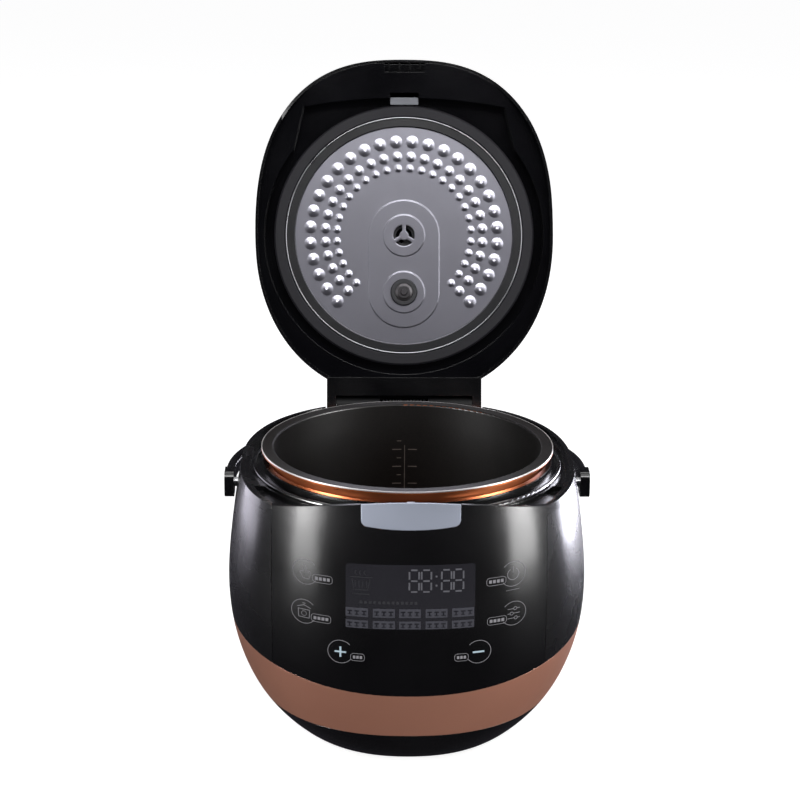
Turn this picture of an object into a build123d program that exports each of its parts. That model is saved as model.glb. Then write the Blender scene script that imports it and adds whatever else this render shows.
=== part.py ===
"""A 5 litre electric rice cooker with its lid open, its pot in place and its carrying handle folded back.

Millimetres. +Z is up, -Y is the front, and the origin is on the pot's axis at the table top.
Lid pieces are drawn shut, then swung open about the hinge by LID_OPEN degrees, which is their rest pose.
"""
from build123d import *
from math import copysign, cos, pi, radians, sin, sqrt
import os

os.makedirs("parts", exist_ok=True)

# ---------------------------------------------------------------- driving dimensions
WALL = 3.0  # moulded wall of the body
GAP = 0.3  # air between pieces that move past each other
RUN = 0.05  # radial clearance of a pin that turns in its hole

# Level outlines of the body: height, half width, reach to the front, reach to the rear, front squareness
BODY_SECTIONS = [
    (3, 98, 127, 108, 2.2),
    (12, 109.5, 138, 119, 2.2),
    (30, 125.5, 149, 134, 2.25),
    (55, 138.8, 159.5, 150, 2.3),
    (85, 147.8, 166.5, 160, 2.35),
    (125, 151.3, 170, 167, 2.4),
    (165, 148.3, 169.5, 168, 2.45),
    (200, 143.5, 166, 166, 2.5),
    (220, 139.8, 163, 164, 2.5),
    (240, 135.4, 160.6, 161, 2.5),
]
REAR_POWER = 2.3  # squareness of the rear half of every body outline
OUTLINE_STEPS = 32  # points on one outline

SEAM_X = 110.5  # front panel's side seams
SEAM_GAP = 0.15  # half of the seam between panel and shell
BAND_LOW = 32.5  # band's level lower edge
BAND_TOP_MIDDLE = 73.5  # band's upper edge at the middle of the front
BAND_TOP_SEAM = 85.0  # and at the panel's seams
PANEL_TOP_MIDDLE = 236.0  # panel's arched top
PANEL_TOP_SEAM = 219.0
SHELL_TOP = 212.0
FLANGE_TOP = 219.0
FRAME_LOW = 206.0
TRIM_DEPTH = 200.0  # long enough to pass through the whole body

POT_RIM_R = 123.0
POT_RIM_TOP = 232.0
POT_RIM_THICK = 2.4
POT_MOUTH_R = 112.5
POT_SIDE_R = 115.5
POT_WALL = 3.0
POT_FLOOR = 70.3
POT_CORNER_R = 42.0

LINER_R = 118.0
LINER_WALL = 1.0
LINER_FLOOR = 56.0  # inside face of the liner's floor
LINER_LIP_R = 122.4
LINER_TOP = 222.0

PLATE_R = 74.0  # heating plate
PLATE_LOW = 60.0
PLATE_TOP = 70.0
SENSOR_HOLE_R = 17.0

HINGE_Y = 156.0
HINGE_Z = 217.4
HINGE_PIN_R = 3.0
KNUCKLE_R = 8.5  # outer radius of the hinge's knuckles
LID_OPEN = 107.0
HINGE = Axis((0, HINGE_Y, HINGE_Z), (1, 0, 0))

# Level outlines of the shut lid: height, half width, reach to the front, reach to the rear
LID_SECTIONS = [
    (217.2, 135.5, 158.6, 148.0),
    (236, 135.5, 161.5, 149.0),
    (252, 131, 157, 145.5),
    (265, 119, 143, 132),
    (274, 99, 120, 110),
    (280, 66, 82, 75),
]
LID_FRONT_POWER = 2.5
LID_REAR_POWER = 2.2
LID_WALL = 2.5
LINER_RIM_LOW = 228.0  # underside of the lid liner's flat rim
LINER_RIM_THICK = 2.5
RECESS_R = 127.6
RECESS_TOP = 243.0
GASKET_R = 119.0
GASKET_IN_R = 108.0
GASKET_LOW = 232.4
LID_PLATE_R = 103.0
LID_PLATE_SHOWN_R = 99.3
LID_PLATE_LOW = 236.0
LID_PLATE_THICK = 0.9
POST_Y = 52.0  # lid post, towards the hinge from the plate's centre
ARM_HALF = 70.0  # half width of the lid's hinge arm
TOWER_HALF = 61.5  # half width of the body's hinge tower
NOTCH_Z = 196.0  # floor of the notch that the hinge arm swings in

BUTTON_HALF = 39.0
BUTTON_LOW = 214.5
BUTTON_GAP = 0.4
BUTTON_BOW = 3.0  # how far the lower edge bows down
BUTTON_CORNER_R = 5.0

WINDOW_HALF = 51.0
WINDOW_LOW = 133.5
WINDOW_TOP = 187.0
WINDOW_THICK = 1.5

HANDLE_Y = -5.0
HANDLE_Z = 200.0
HANDLE_SLOPE = 4.0
HANDLE_OUT = 154.0
HANDLE_ARM = 8.0
HANDLE_STRAIGHT = 30.0
HANDLE_REACH = 183.0
HANDLE_TALL = 13.0
HANDLE_PIN_R = 4.0
HANDLE_PIN_START = 136.0  # distance of a pin's inner end from the middle
HANDLE_PIN_END = 150.7
HANDLE_END_LONG = 24.0  # block at each end of the handle
HANDLE_END_TALL = 22.0

FOOT_R = 90.0
SCREW_R = 76.0


# ---------------------------------------------------------------- shared outlines
def outline(half_width, front, back, front_power, back_power):
    """A closed smooth level outline, squarer in front (-Y) than behind."""
    points = []
    for step in range(OUTLINE_STEPS):
        angle = 2 * pi * step / OUTLINE_STEPS
        across, along = cos(angle), sin(angle)
        power, depth = (front_power, front) if along < 0 else (back_power, back)
        x = half_width * copysign(abs(across) ** (2 / power), across)
        y = depth * copysign(abs(along) ** (2 / power), along)
        points.append((x, y))
    Spline(*points, periodic=True)


def body_form(inset):
    """The body's outer form, drawn in by inset on every side."""
    with BuildPart() as form:
        for z, half_width, front, back, power in BODY_SECTIONS:
            with BuildSketch(Plane.XY.offset(z)):
                with BuildLine():
                    outline(half_width - inset, front - inset, back - inset, power, REAR_POWER)
                make_face()
        loft()
    return form.part


def lid_form(inset):
    """The shut lid's outer form, drawn in by inset at the sides and lowered by inset at the top."""
    with BuildPart() as form:
        for z, half_width, front, back in LID_SECTIONS:
            height = z - inset * (z - LID_SECTIONS[0][0]) / (LID_SECTIONS[-1][0] - LID_SECTIONS[0][0])
            with BuildSketch(Plane.XY.offset(height)):
                with BuildLine():
                    outline(half_width - inset, front - inset, back - inset,
                            LID_FRONT_POWER, LID_REAR_POWER)
                make_face()
        loft()
    return form.part


def arch_radius(rise):
    """Radius of the arc that rises by rise between the middle and a seam."""
    return (SEAM_X**2 + rise**2) / (2 * rise)


def under_arch(middle, seam, low):
    """Everything between height low and an arc through middle (x = 0) and seam (at the panel's seams)."""
    radius = arch_radius(abs(seam - middle))
    centre = middle + copysign(radius, seam - middle)
    edge = centre - copysign(sqrt(radius**2 - TRIM_DEPTH**2), seam - middle)
    with BuildPart() as trim:
        with BuildSketch(Plane.XZ.offset(-TRIM_DEPTH)):
            with BuildLine():
                ThreePointArc((-TRIM_DEPTH, edge), (0, middle), (TRIM_DEPTH, edge))
                Polyline((TRIM_DEPTH, edge), (TRIM_DEPTH, low), (-TRIM_DEPTH, low), (-TRIM_DEPTH, edge))
            make_face()
        extrude(amount=2 * TRIM_DEPTH)
    return trim.part


def block(low, high):
    """A box between two corners."""
    with BuildPart() as box:
        with BuildSketch(Plane.XY.offset(low[2])):
            with Locations(((low[0] + high[0]) / 2, (low[1] + high[1]) / 2)):
                Rectangle(high[0] - low[0], high[1] - low[1])
        extrude(amount=high[2] - low[2])
    return box.part


def save_lid_piece(piece, name):
    """Swing a shut lid piece open about the hinge and write it."""
    opened = piece.rotate(HINGE, -LID_OPEN)
    opened.label = name
    export_step(opened, f"parts/{name}.step")


body_outer = body_form(0)
body_inner = body_form(WALL)
front_zone = block((-SEAM_X, -TRIM_DEPTH, 0), (SEAM_X, 0, 260))
below_band_top = under_arch(BAND_TOP_MIDDLE, BAND_TOP_SEAM, -10)
below_panel_top = under_arch(PANEL_TOP_MIDDLE, PANEL_TOP_SEAM, -10)
hinge_notch = block((-ARM_HALF - 1, 127.5, NOTCH_Z), (ARM_HALF + 1, 220, 260))

FLOOR_TOP = BODY_SECTIONS[0][0] + WALL


# ---------------------------------------------------------------- base
with BuildPart() as base_hollow:
    add(body_inner)
    add(block((-200, -200, -10), (200, 200, FLOOR_TOP)), mode=Mode.SUBTRACT)

with BuildPart() as base_cover:
    add(body_outer)
    add(block((-200, -200, BAND_LOW), (200, 200, 260)), mode=Mode.SUBTRACT)
    add(base_hollow.part, mode=Mode.SUBTRACT)
    with BuildSketch(Plane.XY):
        with PolarLocations(46, 16):
            SlotOverall(34, 4.5)
        with PolarLocations(SCREW_R, 4, start_angle=45):
            Circle(2.2)
    extrude(amount=FLOOR_TOP, mode=Mode.SUBTRACT)
    with BuildSketch(Plane.XY.offset(BODY_SECTIONS[0][0])):
        Circle(FOOT_R + 3)
        Circle(FOOT_R - 3, mode=Mode.SUBTRACT)
    extrude(amount=0.8, mode=Mode.SUBTRACT)
base_cover.part.label = "base_cover"
export_step(base_cover.part, "parts/base_cover.step")

with BuildPart() as foot_ring:
    with BuildSketch(Plane.XZ):
        with BuildLine():
            Polyline((FOOT_R - 2, 0), (FOOT_R + 2, 0), (FOOT_R + 3, 1), (FOOT_R + 3, 3.8),
                     (FOOT_R - 3, 3.8), (FOOT_R - 3, 1), close=True)
        make_face()
    revolve(axis=Axis.Z)
foot_ring.part.label = "foot_ring"
export_step(foot_ring.part, "parts/foot_ring.step")

BRACKET_LEG_R = 7.0
with BuildPart() as base_screws:
    with BuildSketch(Plane.XY.offset(1.2)):
        with PolarLocations(SCREW_R, 4, start_angle=45):
            Circle(4)
    extrude(amount=1.8)
    with BuildSketch(Plane.XY.offset(3)):
        with PolarLocations(SCREW_R, 4, start_angle=45):
            Circle(2)
    extrude(amount=15)
base_screws.part.label = "base_screws"
export_step(base_screws.part, "parts/base_screws.step")

# ---------------------------------------------------------------- outer casing
with BuildPart() as rose_band:
    add(body_outer)
    add(body_inner, mode=Mode.SUBTRACT)
    add(block((-200, -200, -10), (200, 200, BAND_LOW)), mode=Mode.SUBTRACT)
    add(below_band_top, mode=Mode.INTERSECT)
rose_band.part.label = "rose_band"
export_step(rose_band.part, "parts/rose_band.step")

INLET_Z = 108.0
INLET_WIDE = 31.0
INLET_TALL = 24.0
with BuildPart() as outer_shell:
    add(body_outer)
    add(body_inner, mode=Mode.SUBTRACT)
    add(below_band_top, mode=Mode.SUBTRACT)
    add(block((-200, -200, SHELL_TOP), (200, 200, 260)), mode=Mode.SUBTRACT)
    add(block((-SEAM_X - SEAM_GAP, -200, 0), (SEAM_X + SEAM_GAP, 0, 260)), mode=Mode.SUBTRACT)
    add(hinge_notch, mode=Mode.SUBTRACT)
    with BuildSketch(Plane.XZ.offset(-130)):
        with Locations((0, INLET_Z)):
            RectangleRounded(INLET_WIDE, INLET_TALL, 3)
    extrude(amount=-60, mode=Mode.SUBTRACT)
    with BuildSketch(Plane.YZ.offset(-170)):
        with Locations((HANDLE_Y, HANDLE_Z)):
            Circle(HANDLE_PIN_R)
    extrude(amount=340, mode=Mode.SUBTRACT)
outer_shell.part.label = "outer_shell"
export_step(outer_shell.part, "parts/outer_shell.step")



def button_outline(grow):
    """The latch button's outline, open upwards, with a bowed lower edge."""
    bow = BUTTON_HALF**2 / (2 * BUTTON_BOW)
    with BuildSketch() as shape:
        with Locations((0, BUTTON_LOW - grow + 30)):
            Rectangle(2 * BUTTON_HALF + 2 * grow, 60)
        with Locations((0, BUTTON_LOW - grow + bow)):
            Circle(bow, mode=Mode.INTERSECT)
        fillet(shape.vertices().group_by(Axis.Y)[0], BUTTON_CORNER_R)
    return shape.sketch


with BuildPart() as button_opening:
    with BuildSketch(Plane.XZ.offset(TRIM_DEPTH)):
        add(button_outline(BUTTON_GAP))
    extrude(amount=-60)

with BuildPart() as window_form:
    with BuildSketch(Plane.XZ.offset(TRIM_DEPTH)):
        with Locations((0, (WINDOW_LOW + WINDOW_TOP) / 2)):
            RectangleRounded(2 * WINDOW_HALF, WINDOW_TOP - WINDOW_LOW, 2)
    extrude(amount=-100)

with BuildPart() as display_window:
    add(body_outer)
    add(body_form(WINDOW_THICK), mode=Mode.SUBTRACT)
    add(window_form.part, mode=Mode.INTERSECT)
display_window.part.label = "display_window"
export_step(display_window.part, "parts/display_window.step")

with BuildPart() as front_panel:
    add(body_outer)
    add(body_inner, mode=Mode.SUBTRACT)
    add(below_panel_top, mode=Mode.INTERSECT)
    add(block((-SEAM_X + SEAM_GAP, -200, 0), (SEAM_X - SEAM_GAP, 0, 260)), mode=Mode.INTERSECT)
    add(below_band_top, mode=Mode.SUBTRACT)
    add(button_opening.part, mode=Mode.SUBTRACT)
    add(display_window.part, mode=Mode.SUBTRACT)
    with BuildSketch(Plane.XZ.offset(TRIM_DEPTH)):
        with Locations((0, (WINDOW_LOW + WINDOW_TOP) / 2)):
            Rectangle(2 * WINDOW_HALF - 4, WINDOW_TOP - WINDOW_LOW - 4)
    extrude(amount=-100, mode=Mode.SUBTRACT)
front_panel.part.label = "front_panel"
export_step(front_panel.part, "parts/front_panel.step")

# ---------------------------------------------------------------- top frame, around the pot's mouth
COLLAR_IN = LINER_R + LINER_WALL + 0.2
COLLAR_OUT = 122.0
STEP_IN = 3.6
TRAY_IN = 7.5
TRAY_Z = 213.5
RIB_R = 128.5


def frame_layer(inset, low, high):
    """The body's form drawn in by inset, between two heights."""
    with BuildPart() as layer:
        add(body_form(inset))
        add(block((-200, -200, low), (200, 200, high)), mode=Mode.INTERSECT)
    return layer.part


panel_space = block((-SEAM_X - SEAM_GAP, -200, FRAME_LOW - 5), (SEAM_X + SEAM_GAP, 0, 260))
with BuildPart() as panel_wall:
    add(body_outer)
    add(body_inner, mode=Mode.SUBTRACT)
    add(panel_space, mode=Mode.INTERSECT)

with BuildPart() as front_moat:
    add(frame_layer(TRAY_IN, FRAME_LOW + 2.5, TRAY_Z + 1))
    add(block((-200, -55, 0), (200, 200, 260)), mode=Mode.SUBTRACT)
    with BuildSketch(Plane.XY.offset(FRAME_LOW)):
        Circle(RIB_R + 2.5)
    extrude(amount=20, mode=Mode.SUBTRACT)

with BuildPart() as top_frame:
    add(frame_layer(0, SHELL_TOP, FLANGE_TOP))
    add(frame_layer(WALL, FRAME_LOW, SHELL_TOP))
    add(frame_layer(STEP_IN, 216.8, FLANGE_TOP + 1), mode=Mode.SUBTRACT)
    add(frame_layer(TRAY_IN, TRAY_Z, FLANGE_TOP + 1), mode=Mode.SUBTRACT)
    add(front_moat.part, mode=Mode.SUBTRACT)
    add(panel_wall.part, mode=Mode.SUBTRACT)
    with BuildSketch(Plane.XZ):
        with BuildLine():
            Polyline((RIB_R + 2, FRAME_LOW + 3), (RIB_R + 2, 215.5))
            ThreePointArc((RIB_R + 2, 215.5), (RIB_R, 217.5), (RIB_R - 2, 215.5))
            Polyline((RIB_R - 2, 215.5), (RIB_R - 2, FRAME_LOW + 3), (RIB_R + 2, FRAME_LOW + 3))
        make_face()
        with Locations(((COLLAR_IN + COLLAR_OUT) / 2, 215)):
            Rectangle(COLLAR_OUT - COLLAR_IN, 12)
    revolve(axis=Axis.Z)
    with BuildSketch(Plane.XY.offset(FRAME_LOW - 1)):
        Circle(COLLAR_IN)
    extrude(amount=30, mode=Mode.SUBTRACT)
    add(hinge_notch, mode=Mode.SUBTRACT)
    add(block((-BUTTON_HALF - 2, -180, FRAME_LOW - 2), (BUTTON_HALF + 2, -144, 260)), mode=Mode.SUBTRACT)
top_frame.part.label = "top_frame"
export_step(top_frame.part, "parts/top_frame.step")

# ---------------------------------------------------------------- hinge tower, pin and springs
with BuildPart() as tower_space:
    add(body_form(WALL + 0.2))
    add(block((-100, 100, NOTCH_Z), (100, 180, 240)))

with BuildPart() as hinge_tower:
    with BuildSketch(Plane.YZ.offset(-TOWER_HALF)):
        with BuildLine():
            Polyline((HINGE_Y - KNUCKLE_R, HINGE_Z), (HINGE_Y - KNUCKLE_R, 150), (HINGE_Y + 2, 150),
                     (HINGE_Y + KNUCKLE_R, 190),
                     (HINGE_Y + KNUCKLE_R, HINGE_Z))
            ThreePointArc((HINGE_Y + KNUCKLE_R, HINGE_Z), (HINGE_Y, HINGE_Z + KNUCKLE_R),
                          (HINGE_Y - KNUCKLE_R, HINGE_Z))
        make_face()
    extrude(amount=2 * TOWER_HALF)
    add(block((-ARM_HALF - 0.7, 128, NOTCH_Z - 3), (ARM_HALF + 0.7, HINGE_Y + KNUCKLE_R, NOTCH_Z)))
    add(tower_space.part, mode=Mode.INTERSECT)
    with BuildSketch(Plane.YZ.offset(-TOWER_HALF - 1)):
        with Locations((HINGE_Y, HINGE_Z)):
            Circle(HINGE_PIN_R)
    extrude(amount=2 * TOWER_HALF + 2, mode=Mode.SUBTRACT)
    add(block((-22, 140, 205), (22, 175, 240)), mode=Mode.SUBTRACT)
hinge_tower.part.label = "hinge_tower"
export_step(hinge_tower.part, "parts/hinge_tower.step")

with BuildPart() as hinge_pin:
    with BuildSketch(Plane.YZ.offset(-ARM_HALF + 1)):
        with Locations((HINGE_Y, HINGE_Z)):
            Circle(HINGE_PIN_R)
    extrude(amount=2 * ARM_HALF - 2)
hinge_pin.part.label = "hinge_pin"
export_step(hinge_pin.part, "parts/hinge_pin.step")

SPRING_PITCH = 3.0
with BuildPart() as lid_spring:
    for side in (-1, 1):
        with BuildLine():
            coil = Helix(SPRING_PITCH, 5 * SPRING_PITCH, 4.6,
                         center=(side * 11 - 7.5, HINGE_Y, HINGE_Z), direction=(1, 0, 0))
        with BuildSketch(Plane(origin=coil @ 0, z_dir=coil % 0)):
            Circle(0.9)
        sweep(path=coil, is_frenet=True)
lid_spring.part.label = "lid_spring"
export_step(lid_spring.part, "parts/lid_spring.step")

# ---------------------------------------------------------------- heater, liner and sensor
HEATER_R = 50.0
HEATER_TUBE_R = 4.0
BRACKET_LOW = 53.0
BRACKET_TOP = LINER_FLOOR - LINER_WALL
PILLAR_R = 64.0
with BuildPart() as heater_bracket:
    with BuildSketch(Plane.XY.offset(BRACKET_LOW)):
        Circle(88)
        Circle(15, mode=Mode.SUBTRACT)
        with PolarLocations(38, 6, start_angle=30):
            Circle(11, mode=Mode.SUBTRACT)
        with PolarLocations(HEATER_R, 2, start_angle=5, angular_range=310, endpoint=True):
            Circle(5, mode=Mode.SUBTRACT)
    extrude(amount=BRACKET_TOP - BRACKET_LOW)
    with BuildSketch(Plane.XY.offset(FLOOR_TOP)):
        with PolarLocations(SCREW_R, 4, start_angle=45):
            Circle(BRACKET_LEG_R)
    extrude(amount=BRACKET_LOW - FLOOR_TOP)
    with BuildSketch(Plane.XY.offset(FLOOR_TOP)):
        with PolarLocations(SCREW_R, 4, start_angle=45):
            Circle(2)
    extrude(amount=14, mode=Mode.SUBTRACT)
heater_bracket.part.label = "heater_bracket"
export_step(heater_bracket.part, "parts/heater_bracket.step")

with BuildPart() as heater_element:
    with BuildSketch(Plane.XZ):
        with Locations((HEATER_R, PLATE_LOW)):
            Circle(HEATER_TUBE_R)
    revolve(axis=Axis.Z, revolution_arc=320)
    with BuildSketch(Plane.XY.offset(43)):
        with PolarLocations(HEATER_R, 2, start_angle=5, angular_range=310, endpoint=True):
            Circle(2.5)
    extrude(amount=PLATE_LOW - 43 - 1)
heater_element.part.label = "heater_element"
export_step(heater_element.part, "parts/heater_element.step")

with BuildPart() as heating_plate:
    with BuildSketch(Plane.XY.offset(PLATE_LOW)):
        Circle(PLATE_R)
        Circle(SENSOR_HOLE_R, mode=Mode.SUBTRACT)
    extrude(amount=PLATE_TOP - PLATE_LOW)
    fillet(heating_plate.edges().filter_by(GeomType.CIRCLE).sort_by(Axis.Z)[-1], 1.5)
    with BuildSketch(Plane.XY.offset(BRACKET_TOP)):
        with PolarLocations(PILLAR_R, 3, start_angle=90):
            Circle(5)
    extrude(amount=PLATE_LOW - BRACKET_TOP)
    add(heater_element.part, mode=Mode.SUBTRACT)
heating_plate.part.label = "heating_plate"
export_step(heating_plate.part, "parts/heating_plate.step")

with BuildPart() as thermal_fuse:
    with BuildSketch(Plane.YZ.offset(-9)):
        with Locations((-34, PLATE_LOW - 2.5)):
            Circle(2.5)
    extrude(amount=18)
thermal_fuse.part.label = "thermal_fuse"
export_step(thermal_fuse.part, "parts/thermal_fuse.step")

with BuildPart() as inner_liner:
    with BuildSketch(Plane.XZ):
        with BuildLine():
            Line((78, LINER_FLOOR), (LINER_R - 14, LINER_FLOOR))
            RadiusArc((LINER_R - 14, LINER_FLOOR), (LINER_R, LINER_FLOOR + 14), -14)
            Polyline((LINER_R, LINER_FLOOR + 14), (LINER_R, LINER_TOP), (LINER_LIP_R, LINER_TOP))
            offset(amount=LINER_WALL, side=Side.RIGHT)
        make_face()
    revolve(axis=Axis.Z)
inner_liner.part.label = "inner_liner"
export_step(inner_liner.part, "parts/inner_liner.step")

SIDE_HEATER_R = LINER_R + LINER_WALL
with BuildPart() as side_heater:
    with BuildSketch(Plane.XZ):
        with Locations((SIDE_HEATER_R + 0.6, 140)):
            Rectangle(1.2, 46)
    revolve(axis=Axis.Z, revolution_arc=350)
side_heater.part.label = "side_heater"
export_step(side_heater.part, "parts/side_heater.step")

CAP_LOW = 63.5
GUIDE_FLOOR = 46.0
with BuildPart() as sensor_cap:
    with BuildSketch(Plane.XZ):
        with BuildLine():
            Polyline((0, GUIDE_FLOOR - 2), (4, GUIDE_FLOOR - 2), (4, CAP_LOW), (16, CAP_LOW),
                     (16, PLATE_TOP - 1.5), (14.5, PLATE_TOP), (0, PLATE_TOP), close=True)
        make_face()
    revolve(axis=Axis.Z)
sensor_cap.part.label = "sensor_cap"
export_step(sensor_cap.part, "parts/sensor_cap.step")

with BuildPart() as sensor_guide:
    with BuildSketch(Plane.XZ):
        with BuildLine():
            Polyline((4 + GAP, GUIDE_FLOOR), (13, GUIDE_FLOOR), (13, BRACKET_LOW), (17, BRACKET_LOW - 2),
                     (17, BRACKET_LOW), (15, BRACKET_LOW), (15, 57), (11.5, 57), (11.5, GUIDE_FLOOR + 2),
                     (4 + GAP, GUIDE_FLOOR + 2), close=True)
        make_face()
    revolve(axis=Axis.Z)
sensor_guide.part.label = "sensor_guide"
export_step(sensor_guide.part, "parts/sensor_guide.step")

COIL_LOW = GUIDE_FLOOR + 2.8
COIL_TURNS = 5
with BuildPart() as sensor_spring:
    with BuildLine():
        coil = Helix((CAP_LOW - 0.8 - COIL_LOW) / COIL_TURNS, CAP_LOW - 0.8 - COIL_LOW, 7.5,
                     center=(0, 0, COIL_LOW))
    with BuildSketch(Plane(origin=coil @ 0, z_dir=coil % 0)):
        Circle(0.6)
    sweep(path=coil, is_frenet=True)
sensor_spring.part.label = "sensor_spring"
export_step(sensor_spring.part, "parts/sensor_spring.step")

# ---------------------------------------------------------------- inner pot
RIM_LOW = POT_RIM_TOP - POT_RIM_THICK
with BuildPart() as inner_pot:
    with BuildSketch(Plane.XZ):
        with BuildLine():
            Polyline((0, POT_FLOOR), (POT_SIDE_R - POT_CORNER_R, POT_FLOOR))
            RadiusArc((POT_SIDE_R - POT_CORNER_R, POT_FLOOR), (POT_SIDE_R, POT_FLOOR + POT_CORNER_R),
                      -POT_CORNER_R)
            Polyline((POT_SIDE_R, POT_FLOOR + POT_CORNER_R), (POT_SIDE_R, RIM_LOW), (POT_RIM_R, RIM_LOW),
                     (POT_RIM_R, POT_RIM_TOP), (POT_MOUTH_R + 1.5, POT_RIM_TOP))
            RadiusArc((POT_MOUTH_R + 1.5, POT_RIM_TOP), (POT_MOUTH_R, POT_RIM_TOP - 1.5), -1.5)
            Line((POT_MOUTH_R, POT_RIM_TOP - 1.5), (POT_MOUTH_R, POT_FLOOR + POT_CORNER_R))
            RadiusArc((POT_MOUTH_R, POT_FLOOR + POT_CORNER_R),
                      (POT_SIDE_R - POT_CORNER_R, POT_FLOOR + POT_WALL), POT_CORNER_R - POT_WALL)
            Polyline((POT_SIDE_R - POT_CORNER_R, POT_FLOOR + POT_WALL), (0, POT_FLOOR + POT_WALL),
                     (0, POT_FLOOR))
        make_face()
    revolve(axis=Axis.Z)
inner_pot.part.label = "inner_pot"
export_step(inner_pot.part, "parts/inner_pot.step")

# ---------------------------------------------------------------- latch
BUTTON_THICK = 1.6
with BuildPart() as button_shape:
    with BuildSketch(Plane.XZ.offset(TRIM_DEPTH)):
        add(button_outline(0))
    extrude(amount=-60)

with BuildPart() as latch_button:
    add(body_outer)
    add(body_form(BUTTON_THICK), mode=Mode.SUBTRACT)
    add(below_panel_top, mode=Mode.INTERSECT)
    add(button_shape.part, mode=Mode.INTERSECT)
    with BuildSketch(Plane.XY.offset(217)):
        with Locations((0, -160)):
            Rectangle(40, 5)
    extrude(amount=9.5)
    add(body_outer, mode=Mode.INTERSECT)
latch_button.part.label = "latch_button"
export_step(latch_button.part, "parts/latch_button.step")

LATCH_Y = -150.0
LATCH_Z = 211.0
LATCH_PIN_R = 1.5
with BuildPart() as latch_bracket:
    with BuildSketch(Plane.XY.offset(FRAME_LOW)):
        with Locations((0, -145)):
            Rectangle(44, 2)
        with Locations((-6.5, -150), (6.5, -150)):
            Rectangle(3, 8)
    extrude(amount=9.5)
    with BuildSketch(Plane.XY.offset(215.5)):
        with Locations((0, -145)):
            Rectangle(44, 2)
    extrude(amount=10)
    with BuildSketch(Plane.YZ.offset(-10)):
        with Locations((LATCH_Y, LATCH_Z)):
            Circle(LATCH_PIN_R)
    extrude(amount=20, mode=Mode.SUBTRACT)
latch_bracket.part.label = "latch_bracket"
export_step(latch_bracket.part, "parts/latch_bracket.step")

with BuildPart() as latch_pin:
    with BuildSketch(Plane.YZ.offset(-9)):
        with Locations((LATCH_Y, LATCH_Z)):
            Circle(LATCH_PIN_R)
    extrude(amount=18)
latch_pin.part.label = "latch_pin"
export_step(latch_pin.part, "parts/latch_pin.step")

with BuildPart() as latch_hook:
    with BuildSketch(Plane.YZ.offset(-3)):
        with BuildLine():
            Polyline((LATCH_Y - 1.5, LATCH_Z), (-154.5, 222), (-155, 230), (-157.2, 231),
                     (-155, 234.2), (-152.5, 234.2),
                     (-151.5, 222), (LATCH_Y + 3, LATCH_Z), close=True)
        make_face()
        with Locations((LATCH_Y, LATCH_Z)):
            Circle(3.6)
            Circle(LATCH_PIN_R + RUN, mode=Mode.SUBTRACT)
    extrude(amount=6)
latch_hook.part.label = "latch_hook"
export_step(latch_hook.part, "parts/latch_hook.step")

with BuildPart() as latch_springs:
    for x in (-15, 15):
        with BuildLine():
            coil = Helix(2.0, 10.0, 2.6, center=(x, -156.6, 221), direction=(0, 1, 0))
        with BuildSketch(Plane(origin=coil @ 0, z_dir=coil % 0)):
            Circle(0.4)
        sweep(path=coil, is_frenet=True)
latch_springs.part.label = "latch_springs"
export_step(latch_springs.part, "parts/latch_springs.step")

# ---------------------------------------------------------------- carrying handle
handle_plane = Plane(
    origin=(0, HANDLE_Y, HANDLE_Z),
    x_dir=(1, 0, 0),
    z_dir=(0, sin(radians(HANDLE_SLOPE)), cos(radians(HANDLE_SLOPE))),
)
HANDLE_IN = HANDLE_OUT - HANDLE_ARM
with BuildPart() as carry_handle:
    with BuildSketch(handle_plane.offset(-HANDLE_TALL / 2)):
        with BuildLine():
            Line((HANDLE_OUT, 0), (HANDLE_OUT, HANDLE_STRAIGHT))
            EllipticalCenterArc((0, HANDLE_STRAIGHT), HANDLE_OUT, HANDLE_REACH, 0, arc_size=180)
            Line((-HANDLE_OUT, HANDLE_STRAIGHT), (-HANDLE_OUT, 0))
            Line((-HANDLE_OUT, 0), (-HANDLE_IN, 0))
            Line((-HANDLE_IN, 0), (-HANDLE_IN, HANDLE_STRAIGHT))
            EllipticalCenterArc((0, HANDLE_STRAIGHT), HANDLE_IN, HANDLE_REACH - HANDLE_ARM - 3, 0,
                                arc_size=180)
            Line((HANDLE_IN, HANDLE_STRAIGHT), (HANDLE_IN, 0))
            Line((HANDLE_IN, 0), (HANDLE_OUT, 0))
        make_face()
    extrude(amount=HANDLE_TALL)
    fillet(carry_handle.edges().filter_by(GeomType.ELLIPSE), 2.5)
    for side in (-1, 1):
        with BuildSketch(Plane.YZ.offset(side * HANDLE_IN)):
            with Locations((HANDLE_Y, HANDLE_Z)):
                RectangleRounded(HANDLE_END_LONG, HANDLE_END_TALL, 6)
        extrude(amount=side * HANDLE_ARM)
    with BuildSketch(Plane.YZ.offset(-HANDLE_PIN_END - GAP)):
        with Locations((HANDLE_Y, HANDLE_Z)):
            Circle(HANDLE_PIN_R + RUN)
    extrude(amount=2 * HANDLE_PIN_END + 2 * GAP, mode=Mode.SUBTRACT)
carry_handle.part.label = "carry_handle"
export_step(carry_handle.part, "parts/carry_handle.step")

with BuildPart() as handle_pins:
    for side in (-1, 1):
        with BuildSketch(Plane.YZ.offset(side * HANDLE_PIN_START)):
            with Locations((HANDLE_Y, HANDLE_Z)):
                Circle(HANDLE_PIN_R)
        extrude(amount=side * (HANDLE_PIN_END - HANDLE_PIN_START))
handle_pins.part.label = "handle_pins"
export_step(handle_pins.part, "parts/handle_pins.step")

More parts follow.
